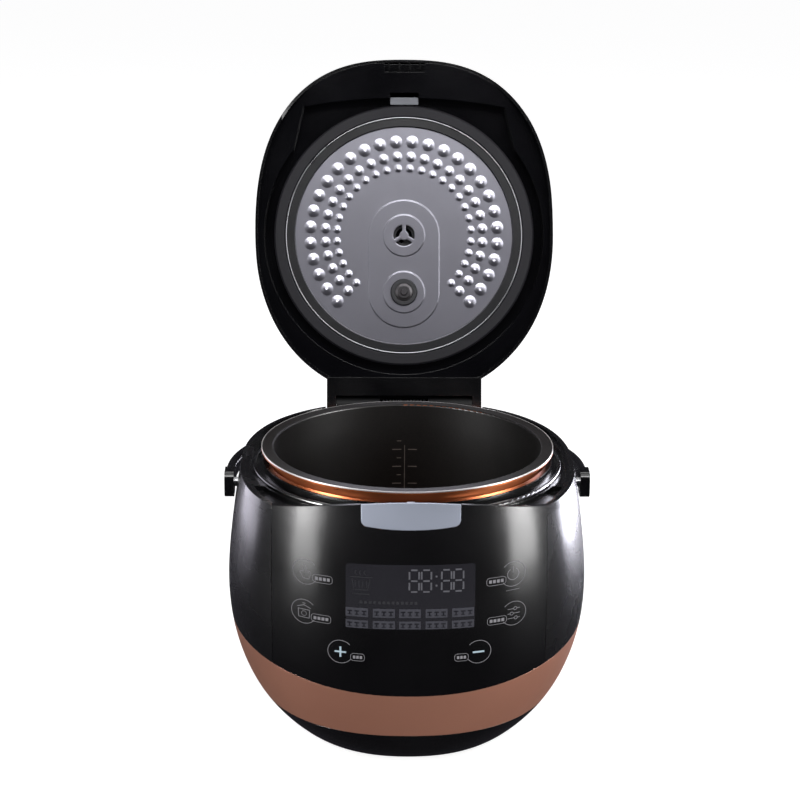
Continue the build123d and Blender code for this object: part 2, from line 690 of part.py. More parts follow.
# ---------------------------------------------------------------- electronics
BOARD_Y = -146.0
BOARD_THICK = 1.6
with BuildPart() as control_board:
    with BuildSketch(Plane.XZ.offset(-BOARD_Y)):
        with Locations((0, 155)):
            RectangleRounded(160, 88, 3)
        with Locations((-72, 117), (72, 117), (-72, 193), (72, 193)):
            Circle(1.6, mode=Mode.SUBTRACT)
    extrude(amount=-BOARD_THICK)
control_board.part.label = "control_board"
export_step(control_board.part, "parts/control_board.step")

with BuildPart() as board_chips:
    with BuildSketch(Plane.XZ.offset(-BOARD_Y - BOARD_THICK)):
        with Locations((-30, 150)):
            Rectangle(14, 14)
        with Locations((20, 170)):
            Rectangle(10, 6)
        with Locations((50, 130)):
            Rectangle(22, 8)
    extrude(amount=-3)
board_chips.part.label = "board_chips"
export_step(board_chips.part, "parts/board_chips.step")

with BuildPart() as display_module:
    with BuildSketch(Plane.XZ.offset(-BOARD_Y)):
        with Locations((0, (WINDOW_LOW + WINDOW_TOP) / 2)):
            RectangleRounded(96, 47, 1.5)
    extrude(amount=12)
display_module.part.label = "display_module"
export_step(display_module.part, "parts/display_module.step")

KEY_PLACES = [(-79, 175), (-79, 142), (-55, 116), (79, 175), (79, 142), (55, 116)]
with BuildPart() as touch_springs:
    with BuildSketch(Plane.XZ.offset(-BOARD_Y)):
        with Locations(*[(x * 0.95, z) for x, z in KEY_PLACES]):
            Circle(5)
    extrude(amount=30)
    add(body_form(WALL + 0.2), mode=Mode.INTERSECT)
touch_springs.part.label = "touch_springs"
export_step(touch_springs.part, "parts/touch_springs.step")

POWER_LOW = 14.0
with BuildPart() as power_board:
    with BuildSketch(Plane.XY.offset(POWER_LOW)):
        with Locations((0, 66)):
            RectangleRounded(82, 52, 2)
    extrude(amount=BOARD_THICK)
    with BuildSketch(Plane.XY.offset(FLOOR_TOP)):
        with Locations((-34, 46), (34, 46), (-34, 86), (34, 86)):
            Circle(3)
    extrude(amount=POWER_LOW - FLOOR_TOP)
power_board.part.label = "power_board"
export_step(power_board.part, "parts/power_board.step")

with BuildPart() as transformer:
    with BuildSketch(Plane.XY.offset(POWER_LOW + BOARD_THICK)):
        with Locations((-16, 64)):
            RectangleRounded(34, 28, 2)
    extrude(amount=26)
transformer.part.label = "transformer"
export_step(transformer.part, "parts/transformer.step")

with BuildPart() as power_relay:
    with BuildSketch(Plane.XY.offset(POWER_LOW + BOARD_THICK)):
        with Locations((18, 56)):
            Rectangle(19, 15)
    extrude(amount=16)
power_relay.part.label = "power_relay"
export_step(power_relay.part, "parts/power_relay.step")

with BuildPart() as filter_capacitors:
    with BuildSketch(Plane.XY.offset(POWER_LOW + BOARD_THICK)):
        with Locations((14, 78), (29, 78)):
            Circle(6)
    extrude(amount=17)
filter_capacitors.part.label = "filter_capacitors"
export_step(filter_capacitors.part, "parts/filter_capacitors.step")

INLET_BACK = 142.0
INLET_FLOOR = 147.0
with BuildPart() as power_inlet:
    with BuildSketch(Plane.XZ.offset(-INLET_BACK)):
        with Locations((0, INLET_Z)):
            RectangleRounded(INLET_WIDE - 0.2, INLET_TALL - 0.2, 2.9)
    extrude(amount=-21)
    with BuildSketch(Plane.XZ.offset(-157)):
        with Locations((0, INLET_Z)):
            Rectangle(44, 34)
    extrude(amount=-30)
    add(body_form(WALL), mode=Mode.INTERSECT)
    with BuildSketch(Plane.XZ.offset(-158)):
        with Locations((0, INLET_Z)):
            RectangleRounded(INLET_WIDE - 0.2, INLET_TALL - 0.2, 2.9)
    extrude(amount=-5.5)
    with BuildSketch(Plane.XZ.offset(-INLET_FLOOR)):
        with Locations((0, INLET_Z)):
            RectangleRounded(27, 19.6, 2)
    extrude(amount=-30, mode=Mode.SUBTRACT)
power_inlet.part.label = "power_inlet"
export_step(power_inlet.part, "parts/power_inlet.step")

with BuildPart() as inlet_pins:
    with BuildSketch(Plane.XZ.offset(-INLET_FLOOR)):
        with Locations((-7, INLET_Z - 2), (7, INLET_Z - 2), (0, INLET_Z + 3)):
            Rectangle(2, 4)
    extrude(amount=-13)
inlet_pins.part.label = "inlet_pins"
export_step(inlet_pins.part, "parts/inlet_pins.step")

with BuildPart() as mains_wires:
    for x in (-7, 7):
        with BuildLine(Plane.YZ.offset(x)):
            run = FilletPolyline((INLET_BACK, INLET_Z), (134, INLET_Z), (134, 72), (106, 38),
                                 (106, 17), (92, 17),
                                 radius=4)
        with BuildSketch(Plane(origin=run @ 0, z_dir=run % 0)):
            Circle(1.4)
        sweep(path=run)
mains_wires.part.label = "mains_wires"
export_step(mains_wires.part, "parts/mains_wires.step")

# ---------------------------------------------------------------- lid
lid_outer = lid_form(0)
lid_inner = lid_form(LID_WALL)
ARM_FRONT = 130.4
arm_space = block((-ARM_HALF - 0.1, ARM_FRONT - 0.1, 200), (ARM_HALF + 0.1, 200, 236))
front_rise = under_arch(PANEL_TOP_MIDDLE + 0.8, PANEL_TOP_SEAM + 0.8, -10)
VALVE_R = 22.0

with BuildPart() as front_cut:
    add(front_rise)
    add(block((-SEAM_X - 1, -200, 200), (SEAM_X + 1, -60, 260)), mode=Mode.INTERSECT)

with BuildPart() as lid_cover:
    add(lid_outer)
    add(lid_inner, mode=Mode.SUBTRACT)
    add(front_cut.part, mode=Mode.SUBTRACT)
    add(arm_space, mode=Mode.SUBTRACT)
    with BuildSketch(Plane.XY.offset(260)):
        Circle(VALVE_R)
    extrude(amount=40, mode=Mode.SUBTRACT)
save_lid_piece(lid_cover.part, "lid_cover")


SHOULDER_Y = -80.0


def recess_outline(grow):
    """The round recess under the lid, with square shoulders towards the front."""
    with BuildSketch() as shape:
        Circle(RECESS_R + grow)
        with Locations((0, SHOULDER_Y - 60)):
            Rectangle(300, 120, mode=Mode.SUBTRACT)
        with BuildLine():
            Polyline((-92 - grow, -117 - grow), (-102 - grow, SHOULDER_Y + 6), (102 + grow, SHOULDER_Y + 6),
                     (92 + grow, -117 - grow))
            ThreePointArc((-92 - grow, -117 - grow), (0, -125.5 - grow), (92 + grow, -117 - grow))
        make_face()
    return shape.sketch


with BuildPart() as recess_space:
    with BuildSketch(Plane.XY.offset(LINER_RIM_LOW - 5)):
        add(recess_outline(0))
    extrude(amount=RECESS_TOP - LINER_RIM_LOW + 5)

with BuildPart() as panel_path:
    add(front_cut.part)
    add(body_form(WALL + 2 * GAP), mode=Mode.SUBTRACT)

BUTTON_PATH_Y = -157.0  # how far in the pressed button reaches
LINER_SKIN = 2.5
CATCH_XS = [-14.1, -4.7, 4.7, 14.1]
TAB_HALF = 12.8
VENT_R = 10.0
POST_R = 8.0
LID_SCREW_R = 113.5
with BuildPart() as lid_liner:
    add(lid_inner)
    add(block((-200, -200, LINER_RIM_LOW), (200, 200, LINER_RIM_LOW + LINER_RIM_THICK)),
        mode=Mode.INTERSECT)
    with BuildSketch(Plane.XY.offset(LINER_RIM_LOW)):
        add(recess_outline(LINER_SKIN))
    extrude(amount=RECESS_TOP + LINER_SKIN - LINER_RIM_LOW)
    add(block((-22, -160, LINER_RIM_LOW), (22, -147, 238)))
    add(lid_inner, mode=Mode.INTERSECT)
    add(recess_space.part, mode=Mode.SUBTRACT)
    add(arm_space, mode=Mode.SUBTRACT)
    add(block((-18, -159.5, 220), (18, -149, 236)), mode=Mode.SUBTRACT)
    for x in CATCH_XS:
        add(block((x - 0.7, -159.5, 229.2), (x + 0.7, -151, 236)))
    add(lid_inner, mode=Mode.INTERSECT)
    add(panel_path.part, mode=Mode.SUBTRACT)
    add(block((-BUTTON_HALF - 1, -180, 200), (BUTTON_HALF + 1, BUTTON_PATH_Y, 238)), mode=Mode.SUBTRACT)
    add(block((-TAB_HALF - GAP, -130, 220), (TAB_HALF + GAP, -117, RECESS_TOP)), mode=Mode.SUBTRACT)
    with BuildSketch(Plane.XY.offset(RECESS_TOP - 1)):
        Circle(VENT_R)
        with Locations((0, POST_Y)):
            Circle(5)
        with PolarLocations(LID_SCREW_R, 6):
            Circle(1.5)
    extrude(amount=10, mode=Mode.SUBTRACT)
save_lid_piece(lid_liner.part, "lid_liner")

with BuildPart() as hinge_arm:
    with BuildSketch(Plane.YZ.offset(-ARM_HALF)):
        with BuildLine():
            Polyline((HINGE_Y + KNUCKLE_R, HINGE_Z), (HINGE_Y + KNUCKLE_R, 226))
            ThreePointArc((HINGE_Y + KNUCKLE_R, 226), (HINGE_Y + 5.5, 232.5), (HINGE_Y - 1, 235))
            Polyline((HINGE_Y - 1, 235), (ARM_FRONT, 235), (ARM_FRONT, HINGE_Z - KNUCKLE_R),
                     (HINGE_Y, HINGE_Z - KNUCKLE_R))
            ThreePointArc((HINGE_Y, HINGE_Z - KNUCKLE_R), (HINGE_Y + 6.01, HINGE_Z - 6.01),
                          (HINGE_Y + KNUCKLE_R, HINGE_Z))
        make_face()
    extrude(amount=2 * ARM_HALF)
    with BuildSketch(Plane.YZ.offset(-TOWER_HALF - GAP)):
        with Locations((HINGE_Y, HINGE_Z)):
            Circle(9)
        with Locations((HINGE_Y + 5, HINGE_Z - 10)):
            Rectangle(28, 20)
        with Locations((HINGE_Y + 10, HINGE_Z + 2)):
            Rectangle(20, 23)
    extrude(amount=2 * TOWER_HALF + 2 * GAP, mode=Mode.SUBTRACT)
    with BuildSketch(Plane.YZ.offset(-ARM_HALF - 1)):
        with Locations((HINGE_Y, HINGE_Z)):
            Circle(HINGE_PIN_R + RUN)
    extrude(amount=2 * ARM_HALF + 2, mode=Mode.SUBTRACT)
save_lid_piece(hinge_arm.part, "hinge_arm")

with BuildPart() as lid_screws:
    with BuildSketch(Plane.XY.offset(RECESS_TOP - 1.4)):
        with PolarLocations(LID_SCREW_R, 6):
            Circle(2.8)
    extrude(amount=1.4)
    with BuildSketch(Plane.XY.offset(RECESS_TOP)):
        with PolarLocations(LID_SCREW_R, 6):
            Circle(1.5)
    extrude(amount=5)
save_lid_piece(lid_screws.part, "lid_screws")

with BuildPart() as lid_post:
    with BuildSketch(Plane.XZ.offset(-POST_Y)):
        with BuildLine():
            Polyline((0, 227), (2.6, 227), (3.2, 227.6), (3.2, 229), (5.5, 229), (5.5, 231), (POST_R, 232),
                     (POST_R, RECESS_TOP), (5, RECESS_TOP), (5, RECESS_TOP + 5), (0, RECESS_TOP + 5),
                     close=True)
        make_face()
    revolve(axis=Axis((0, POST_Y, 0), (0, 0, 1)))
save_lid_piece(lid_post.part, "lid_post")

WELL_FLOOR = 260.0
with BuildPart() as vent_tube:
    with BuildSketch(Plane.XY.offset(LID_PLATE_LOW + 2)):
        Circle(VENT_R)
        Circle(VENT_R - 2.5, mode=Mode.SUBTRACT)
    extrude(amount=WELL_FLOOR - LID_PLATE_LOW - 2)
save_lid_piece(vent_tube.part, "vent_tube")

with BuildPart() as valve_well:
    with BuildSketch(Plane.XY.offset(WELL_FLOOR)):
        Circle(VALVE_R)
        Circle(VENT_R - 2.5, mode=Mode.SUBTRACT)
    extrude(amount=1.6)
    with BuildSketch(Plane.XY.offset(WELL_FLOOR)):
        Circle(VALVE_R)
        Circle(VALVE_R - 1.8, mode=Mode.SUBTRACT)
    extrude(amount=20)
save_lid_piece(valve_well.part, "valve_well")

# -------------------------------------------------------- steam valve, which pulls out of the lid's top
with BuildPart() as valve_cup:
    with BuildSketch(Plane.XY.offset(WELL_FLOOR + 1.6 + GAP)):
        Circle(VALVE_R - 1.8 - GAP)
        with PolarLocations(4, 3):
            Circle(1.8, mode=Mode.SUBTRACT)
    extrude(amount=1.6)
    with BuildSketch(Plane.XY.offset(WELL_FLOOR + 3.5)):
        Circle(VALVE_R - 1.8 - GAP)
        Circle(VALVE_R - 3.6, mode=Mode.SUBTRACT)
    extrude(amount=280 + GAP - WELL_FLOOR - 3.5)
save_lid_piece(valve_cup.part, "valve_cup")

with BuildPart() as valve_cap:
    with BuildSketch(Plane.XY.offset(280 + GAP)):
        Circle(VALVE_R + 2)
    extrude(amount=3.2)
    chamfer(valve_cap.edges().sort_by(Axis.Z)[-1], 1.2)
    with BuildSketch(Plane.XY.offset(280)):
        with PolarLocations(11, 8):
            SlotOverall(9, 2.2)
    extrude(amount=6, mode=Mode.SUBTRACT)
save_lid_piece(valve_cap.part, "valve_cap")

# ---------------------------------------------------------------- inner lid, which lifts out of the lid
with BuildPart() as lid_gasket:
    with BuildSketch(Plane.XZ):
        with BuildLine():
            Polyline((GASKET_IN_R, 240), (GASKET_IN_R, 234), (GASKET_IN_R + 1.5, GASKET_LOW),
                     (GASKET_R - 1.5, GASKET_LOW), (GASKET_R, GASKET_LOW + 1.5), (GASKET_R, 240),
                     close=True)
        make_face()
    revolve(axis=Axis.Z)
save_lid_piece(lid_gasket.part, "lid_gasket")

with BuildPart() as plate_ring:
    with BuildSketch(Plane.XZ):
        with BuildLine():
            Polyline((LID_PLATE_SHOWN_R, LID_PLATE_LOW), (LID_PLATE_SHOWN_R + 0.8, 233.6),
                     (GASKET_IN_R, 233.6),
                     (GASKET_IN_R, 240), (LID_PLATE_R, 240), (LID_PLATE_R, LID_PLATE_LOW), close=True)
        make_face()
    revolve(axis=Axis.Z)
save_lid_piece(plate_ring.part, "plate_ring")

PAD_R = 32.4
PAD_RISE = 1.2
BOSS_R = 19.0
BOSS_RISE = 1.0
GROMMET_R = 12.3
DIMPLE_RINGS = [(0.865, 5.75), (0.727, 4.65), (0.62, 3.5)]
DIMPLE_STEP = 10.0
DIMPLES = 28
DIMPLE_RISE = 0.9
VENT_OUT_R = 9.8  # three openings round the boss
VENT_IN_R = 4.3
VENT_SPOKE = 3.4


def dimple_ball(radius):
    """Radius of the ball whose cap is DIMPLE_RISE tall and radius wide."""
    return (radius**2 + DIMPLE_RISE**2) / (2 * DIMPLE_RISE)


with BuildPart() as lid_plate:
    with BuildSketch(Plane.XY.offset(LID_PLATE_LOW)):
        Circle(LID_PLATE_R)
    extrude(amount=LID_PLATE_THICK)
    for ring, radius in DIMPLE_RINGS:
        ball = dimple_ball(radius)
        with Locations((0, 0, LID_PLATE_LOW - DIMPLE_RISE + ball)):
            with PolarLocations(ring * LID_PLATE_SHOWN_R, DIMPLES, start_angle=-225,
                                angular_range=DIMPLE_STEP * (DIMPLES - 1), endpoint=True):
                Sphere(ball)
    add(block((-120, -120, LID_PLATE_LOW + LID_PLATE_THICK), (120, 120, 290)), mode=Mode.SUBTRACT)
    for ring, radius in DIMPLE_RINGS:
        ball = dimple_ball(radius)
        with Locations((0, 0, LID_PLATE_LOW - DIMPLE_RISE + ball)):
            with PolarLocations(ring * LID_PLATE_SHOWN_R, DIMPLES, start_angle=-225,
                                angular_range=DIMPLE_STEP * (DIMPLES - 1), endpoint=True):
                Sphere(ball - LID_PLATE_THICK, mode=Mode.SUBTRACT)
    with BuildSketch(Plane.XY.offset(LID_PLATE_LOW - PAD_RISE)):
        with Locations((0, POST_Y / 2)):
            SlotOverall(POST_Y + 2 * PAD_R, 2 * PAD_R, rotation=90)
    extrude(amount=PAD_RISE)
    with BuildSketch(Plane.XY.offset(LID_PLATE_LOW - PAD_RISE - BOSS_RISE)):
        with Locations((0, 0), (0, POST_Y)):
            Circle(BOSS_R)
    extrude(amount=BOSS_RISE)
    with BuildSketch(Plane.XY.offset(LID_PLATE_LOW - PAD_RISE + LID_PLATE_THICK)):
        with Locations((0, POST_Y / 2)):
            SlotOverall(POST_Y + 2 * PAD_R - 1.8, 2 * PAD_R - 1.8, rotation=90)
    extrude(amount=5, mode=Mode.SUBTRACT)
    with BuildSketch(Plane.XY.offset(LID_PLATE_LOW - PAD_RISE - BOSS_RISE + LID_PLATE_THICK)):
        with Locations((0, 0), (0, POST_Y)):
            Circle(BOSS_R - 0.9)
    extrude(amount=5, mode=Mode.SUBTRACT)
    with BuildSketch(Plane.XY.offset(LID_PLATE_LOW - 5)):
        with Locations((0, POST_Y)):
            Circle(GROMMET_R - 2)
    extrude(amount=8, mode=Mode.SUBTRACT)
    with BuildSketch(Plane.XY.offset(LID_PLATE_LOW - 5)):
        Circle(VENT_OUT_R)
        Circle(VENT_IN_R, mode=Mode.SUBTRACT)
        with PolarLocations((VENT_OUT_R + VENT_IN_R) / 2, 3, start_angle=30):
            Rectangle(VENT_OUT_R, VENT_SPOKE, mode=Mode.SUBTRACT)
    extrude(amount=8, mode=Mode.SUBTRACT)
save_lid_piece(lid_plate.part, "lid_plate")

with BuildPart() as post_grommet:
    with BuildSketch(Plane.XZ.offset(-POST_Y)):
        with BuildLine():
            Polyline((POST_R + GAP, 231.4), (GROMMET_R - 1, 231.4), (GROMMET_R, 232.4), (GROMMET_R, 233.8),
                     (GROMMET_R - 2, 233.8), (GROMMET_R - 2, 236.5), (POST_R + GAP, 236.5), close=True)
        make_face()
    revolve(axis=Axis((0, POST_Y, 0), (0, 0, 1)))
save_lid_piece(post_grommet.part, "post_grommet")

with BuildPart() as release_tab:
    with BuildSketch(Plane.XY.offset(232)):
        with Locations((0, -122.8)):
            RectangleRounded(2 * TAB_HALF, 6.6, 1)
    extrude(amount=4)
    with BuildSketch(Plane.XY.offset(236)):
        with Locations((0, -123.6)):
            Rectangle(2 * TAB_HALF - 6, 4)
    extrude(amount=RECESS_TOP - 236 - GAP)
save_lid_piece(release_tab.part, "release_tab")
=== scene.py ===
"""Looks of an open rice cooker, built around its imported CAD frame. Metres, front along -Y, Z up."""

import math

import bpy
from mathutils import Matrix, Vector
from mathutils.bvhtree import BVHTree


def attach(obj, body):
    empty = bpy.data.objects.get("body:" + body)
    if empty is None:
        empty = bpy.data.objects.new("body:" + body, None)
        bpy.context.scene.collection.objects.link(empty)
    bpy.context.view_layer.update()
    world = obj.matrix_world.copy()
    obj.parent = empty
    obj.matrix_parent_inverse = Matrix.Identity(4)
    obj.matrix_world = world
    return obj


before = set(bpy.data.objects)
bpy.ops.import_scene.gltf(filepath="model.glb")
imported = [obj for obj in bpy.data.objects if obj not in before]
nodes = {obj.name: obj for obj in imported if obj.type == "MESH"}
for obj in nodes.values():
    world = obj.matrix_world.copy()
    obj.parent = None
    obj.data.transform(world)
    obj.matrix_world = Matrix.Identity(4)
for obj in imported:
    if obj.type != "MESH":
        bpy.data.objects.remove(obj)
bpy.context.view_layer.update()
MM = 0.001

for scrap in [o for o in bpy.data.objects if o.type in ("CAMERA", "LIGHT")]:
    bpy.data.objects.remove(scrap)
for scrap in [o for o in bpy.data.objects if o.type == "MESH" and o.name not in nodes]:
    bpy.data.objects.remove(scrap)


# ---------------------------------------------------------------- material helpers
def start_material(name):
    """A new node material, its tree and its principled shader."""
    material = bpy.data.materials.new(name)
    material.use_nodes = True
    tree = material.node_tree
    return material, tree, tree.nodes["Principled BSDF"]


def node(tree, kind, settings=None, **inputs):
    """One shader node, with its settings and unlinked or linked inputs."""
    made = tree.nodes.new(kind)
    for key, value in (settings or {}).items():
        setattr(made, key, value)
    for key, value in inputs.items():
        place = made.inputs[key.replace("_", " ")]
        if isinstance(value, bpy.types.NodeSocket):
            tree.links.new(value, place)
        else:
            place.default_value = value
    return made


def maths(tree, operation, first, second=0.0):
    """The result socket of one math node."""
    made = tree.nodes.new("ShaderNodeMath")
    made.operation = operation
    for place, value in zip(made.inputs, (first, second)):
        if isinstance(value, bpy.types.NodeSocket):
            tree.links.new(value, place)
        else:
            place.default_value = value
    return made.outputs[0]


def noise(tree, scale, detail=3.0, stretch=(1, 1, 1)):
    """Noise in the object's own coordinates, stretched along an axis for brushed or drawn metal."""
    where = node(tree, "ShaderNodeTexCoord")
    mapped = node(tree, "ShaderNodeMapping", Vector=where.outputs["Object"], Scale=stretch)
    made = node(tree, "ShaderNodeTexNoise", Vector=mapped.outputs[0], Scale=scale, Detail=detail)
    return made.outputs["Fac"]


def between(tree, factor, low, high):
    """A value that goes from low to high as factor goes from 0.3 to 0.7."""
    made = node(tree, "ShaderNodeMapRange", Value=factor)
    for key, value in (("From Min", 0.3), ("From Max", 0.7), ("To Min", low), ("To Max", high)):
        made.inputs[key].default_value = value
    return made.outputs[0]


def blend_colours(tree, factor, first, second):
    """The colour between first and second; each is a triple or a socket."""
    made = tree.nodes.new("ShaderNodeMix")
    made.data_type = "RGBA"
    tree.links.new(factor, made.inputs["Factor"])
    for place, value in ((made.inputs[6], first), (made.inputs[7], second)):
        if isinstance(value, bpy.types.NodeSocket):
            tree.links.new(value, place)
        else:
            place.default_value = (*value, 1)
    return made.outputs[2]


def shade(colour, factor):
    """A colour made lighter or darker."""
    return tuple(min(1.0, c * factor) for c in colour)


def surface(name, colour, rough, metal=0.0, coat=0.0, coat_rough=0.06, mottle=0.12, mottle_scale=22.0,
            rough_spread=0.05, grain=900.0, bump=0.05, stretch=(1, 1, 1), edge=0.0, level=0.5):
    """A finish with mottled colour, uneven gloss and fine grain.

    With edge, the node's edges look rounded by that radius in mm. level is the strength of its reflections.
    """
    material, tree, shader = start_material(name)
    broad = noise(tree, mottle_scale, 4.0)
    fine = noise(tree, grain, 2.0, stretch)
    colour_socket = blend_colours(tree, between(tree, broad, 0, 1), shade(colour, 1 - mottle),
                                  shade(colour, 1 + mottle))
    tree.links.new(colour_socket, shader.inputs["Base Color"])
    tree.links.new(between(tree, broad, max(0.02, rough - rough_spread), rough + rough_spread),
                   shader.inputs["Roughness"])
    bumps = node(tree, "ShaderNodeBump", Height=fine, Strength=bump, Distance=0.2 * MM)
    if edge:
        rounded = node(tree, "ShaderNodeBevel", {"samples": 4}, Radius=edge * MM)
        tree.links.new(rounded.outputs[0], bumps.inputs["Normal"])
    tree.links.new(bumps.outputs[0], shader.inputs["Normal"])
    shader.inputs["Metallic"].default_value = metal
    shader.inputs["Coat Weight"].default_value = coat
    shader.inputs["Coat Roughness"].default_value = coat_rough
    shader.inputs["Specular IOR Level"].default_value = level
    return material


def paint(material, *names):
    """Gives these CAD nodes one material in all their slots."""
    for name in names:
        mesh = nodes[name].data
        if not mesh.materials:
            mesh.materials.append(material)
        for k in range(len(nodes[name].material_slots)):
            nodes[name].material_slots[k].link = "OBJECT"
            nodes[name].material_slots[k].material = material


# ------------------------------------------------ finishes that need more than mottle and grain
POT_MIDDLE_Z = 0.15  # a height inside the pot that its inner faces look towards
RIM_DARK_Z = 0.2314  # the dark coating covers the rim above this height
RIM_EDGE_R = 0.1224  # the bare edge lies outside this radius
RIM_EDGE_Z = 0.2308  # and above this height
POT_LOW_Z, POT_TOP_Z = 0.07, 0.232


def pot_finish():
    """Copper outside, dark speckled non-stick inside and on the rim, bare metal at the rim's edge."""
    material, tree, shader = start_material("pot_two_tone")
    where = node(tree, "ShaderNodeTexCoord")
    place = node(tree, "ShaderNodeSeparateXYZ", Vector=where.outputs["Object"])
    x, y, z = place.outputs
    squares = maths(tree, "ADD", maths(tree, "MULTIPLY", x, x), maths(tree, "MULTIPLY", y, y))
    radius = maths(tree, "SQRT", squares)
    middle = node(tree, "ShaderNodeCombineXYZ", X=x, Y=y, Z=maths(tree, "SUBTRACT", z, POT_MIDDLE_Z))
    facing = node(tree, "ShaderNodeVectorMath", {"operation": "DOT_PRODUCT"})
    tree.links.new(where.outputs["Normal"], facing.inputs[0])
    tree.links.new(middle.outputs[0], facing.inputs[1])
    inside = maths(tree, "LESS_THAN", facing.outputs["Value"], 0.0)
    top = maths(tree, "GREATER_THAN", z, RIM_DARK_Z)
    dark = maths(tree, "MAXIMUM", inside, top)
    edge = maths(tree, "MULTIPLY", maths(tree, "GREATER_THAN", radius, RIM_EDGE_R),
                 maths(tree, "GREATER_THAN", z, RIM_EDGE_Z))
    speckle = noise(tree, 1400, 2)
    cloud = noise(tree, 14, 3)
    coating = blend_colours(tree, between(tree, speckle, 0, 1), (0.0045, 0.0035, 0.0032),
                            (0.012, 0.009, 0.008))
    copper = blend_colours(tree, between(tree, cloud, 0, 1), (0.40, 0.10, 0.03), (0.50, 0.14, 0.045))
    lower = node(tree, "ShaderNodeMapRange", Value=z)
    for key, value in (("From Min", POT_LOW_Z), ("From Max", POT_TOP_Z), ("To Min", 0), ("To Max", 1)):
        lower.inputs[key].default_value = value
    copper = blend_colours(tree, lower.outputs[0], (0.34, 0.095, 0.035), copper)
    colour = blend_colours(tree, dark, copper, coating)
    colour = blend_colours(tree, edge, colour, (0.80, 0.77, 0.75))
    tree.links.new(colour, shader.inputs["Base Color"])
    bare = maths(tree, "SUBTRACT", 0.75, maths(tree, "MULTIPLY", dark, 0.75))
    metal = maths(tree, "MAXIMUM", edge, bare)
    tree.links.new(metal, shader.inputs["Metallic"])
    rough = maths(tree, "ADD", between(tree, cloud, 0.27, 0.33), maths(tree, "MULTIPLY", dark, 0.08))
    tree.links.new(rough, shader.inputs["Roughness"])
    level = maths(tree, "SUBTRACT", 0.5, maths(tree, "MULTIPLY", dark, 0.3))
    tree.links.new(level, shader.inputs["Specular IOR Level"])
    bumps = node(tree, "ShaderNodeBump", Height=speckle, Strength=0.06, Distance=0.1 * MM)
    tree.links.new(bumps.outputs[0], shader.inputs["Normal"])
    return material


def drawn_metal(name, colour, rough, grain, stretch, edge=0.0):
    """Bare metal with fine drawn lines; with edge, its steps look rounded by that radius in mm."""
    material, tree, shader = start_material(name)
    broad = noise(tree, 9, 3)
    fine = noise(tree, grain, 2, stretch)
    mixed = blend_colours(tree, between(tree, broad, 0, 1), shade(colour, 0.92), shade(colour, 1.06))
    tree.links.new(mixed, shader.inputs["Base Color"])
    tree.links.new(between(tree, fine, rough - 0.015, rough + 0.015), shader.inputs["Roughness"])
    bumps = node(tree, "ShaderNodeBump", Height=fine, Strength=0.03, Distance=0.05 * MM)
    if edge:
        rounded = node(tree, "ShaderNodeBevel", {"samples": 6}, Radius=edge * MM)
        tree.links.new(rounded.outputs[0], bumps.inputs["Normal"])
    tree.links.new(bumps.outputs[0], shader.inputs["Normal"])
    shader.inputs["Metallic"].default_value = 1.0
    return material


# ---------------------------------------------------------------- finishes of the CAD nodes
paint(surface("base_gloss", (0.0018, 0.0017, 0.0018), 0.22, coat=0.6, mottle=0.2, edge=0.6), "base_cover")
paint(surface("foot_rubber", (0.035, 0.034, 0.035), 0.75, mottle=0.25, grain=600, bump=0.4), "foot_ring")
paint(surface("screw_zinc", (0.56, 0.56, 0.55), 0.34, metal=1, mottle_scale=120, edge=0.2),
      "base_screws", "lid_screws")
paint(surface("band_rose_gold", (0.27, 0.116, 0.074), 0.38, metal=0.35, mottle=0.04, mottle_scale=6,
              rough_spread=0.03, grain=2200, bump=0.05, edge=0.4), "rose_band")
paint(surface("shell_gloss", (0.0014, 0.0013, 0.0018), 0.27, coat=0.4, coat_rough=0.22, mottle=0.2,
              rough_spread=0.015, bump=0.004), "outer_shell")
paint(surface("panel_gloss", (0.0010, 0.0009, 0.0013), 0.25, coat=0.4, coat_rough=0.2, mottle=0.2,
              rough_spread=0.015, bump=0.004), "front_panel")
paint(surface("window_smoked", (0.0175, 0.017, 0.0215), 0.2, coat=0.5, coat_rough=0.1, mottle=0.08,
              rough_spread=0.02, bump=0.01), "display_window")
paint(surface("frame_gloss", (0.002, 0.002, 0.0025), 0.25, coat=0.3, mottle=0.2, edge=0.3, bump=0.004),
      "top_frame")
paint(surface("hinge_moulding", (0.0014, 0.0014, 0.0017), 0.2, mottle=0.2, edge=0.5, bump=0.01),
      "hinge_arm")
paint(surface("tower_moulding", (0.0014, 0.0014, 0.0017), 0.5, mottle=0.2, edge=0.3, bump=0.02,
              level=0.2), "hinge_tower")
paint(surface("pin_ground", (0.60, 0.60, 0.60), 0.2, metal=1, grain=1500, stretch=(0.05, 1, 1)),
      "hinge_pin", "latch_pin")
paint(surface("handle_pin_steel", (0.4, 0.4, 0.41), 0.3, metal=1), "handle_pins")
paint(surface("spring_wire", (0.48, 0.48, 0.5), 0.3, metal=1, mottle_scale=90),
      "lid_spring", "sensor_spring", "latch_springs")
paint(surface("bracket_galvanised", (0.52, 0.53, 0.54), 0.45, metal=1, mottle=0.2, mottle_scale=60),
      "heater_bracket", "latch_bracket")
paint(surface("element_sheath", (0.30, 0.27, 0.25), 0.5, metal=1, mottle=0.25, mottle_scale=40),
      "heater_element")
paint(drawn_metal("plate_turned", (0.60, 0.61, 0.62), 0.32, 500, (1, 1, 0.05)), "heating_plate")
paint(surface("fuse_case", (0.5, 0.42, 0.25), 0.35, metal=1), "thermal_fuse")
paint(surface("liner_sheet", (0.32, 0.30, 0.30), 0.28, metal=1, mottle=0.1, grain=1200,
              stretch=(1, 1, 0.05)),
      "inner_liner")
paint(surface("heater_foil", (0.7, 0.7, 0.7), 0.35, metal=1, grain=300, bump=0.5), "side_heater")
paint(surface("guide_pressed", (0.5, 0.5, 0.5), 0.4, metal=1), "sensor_guide")
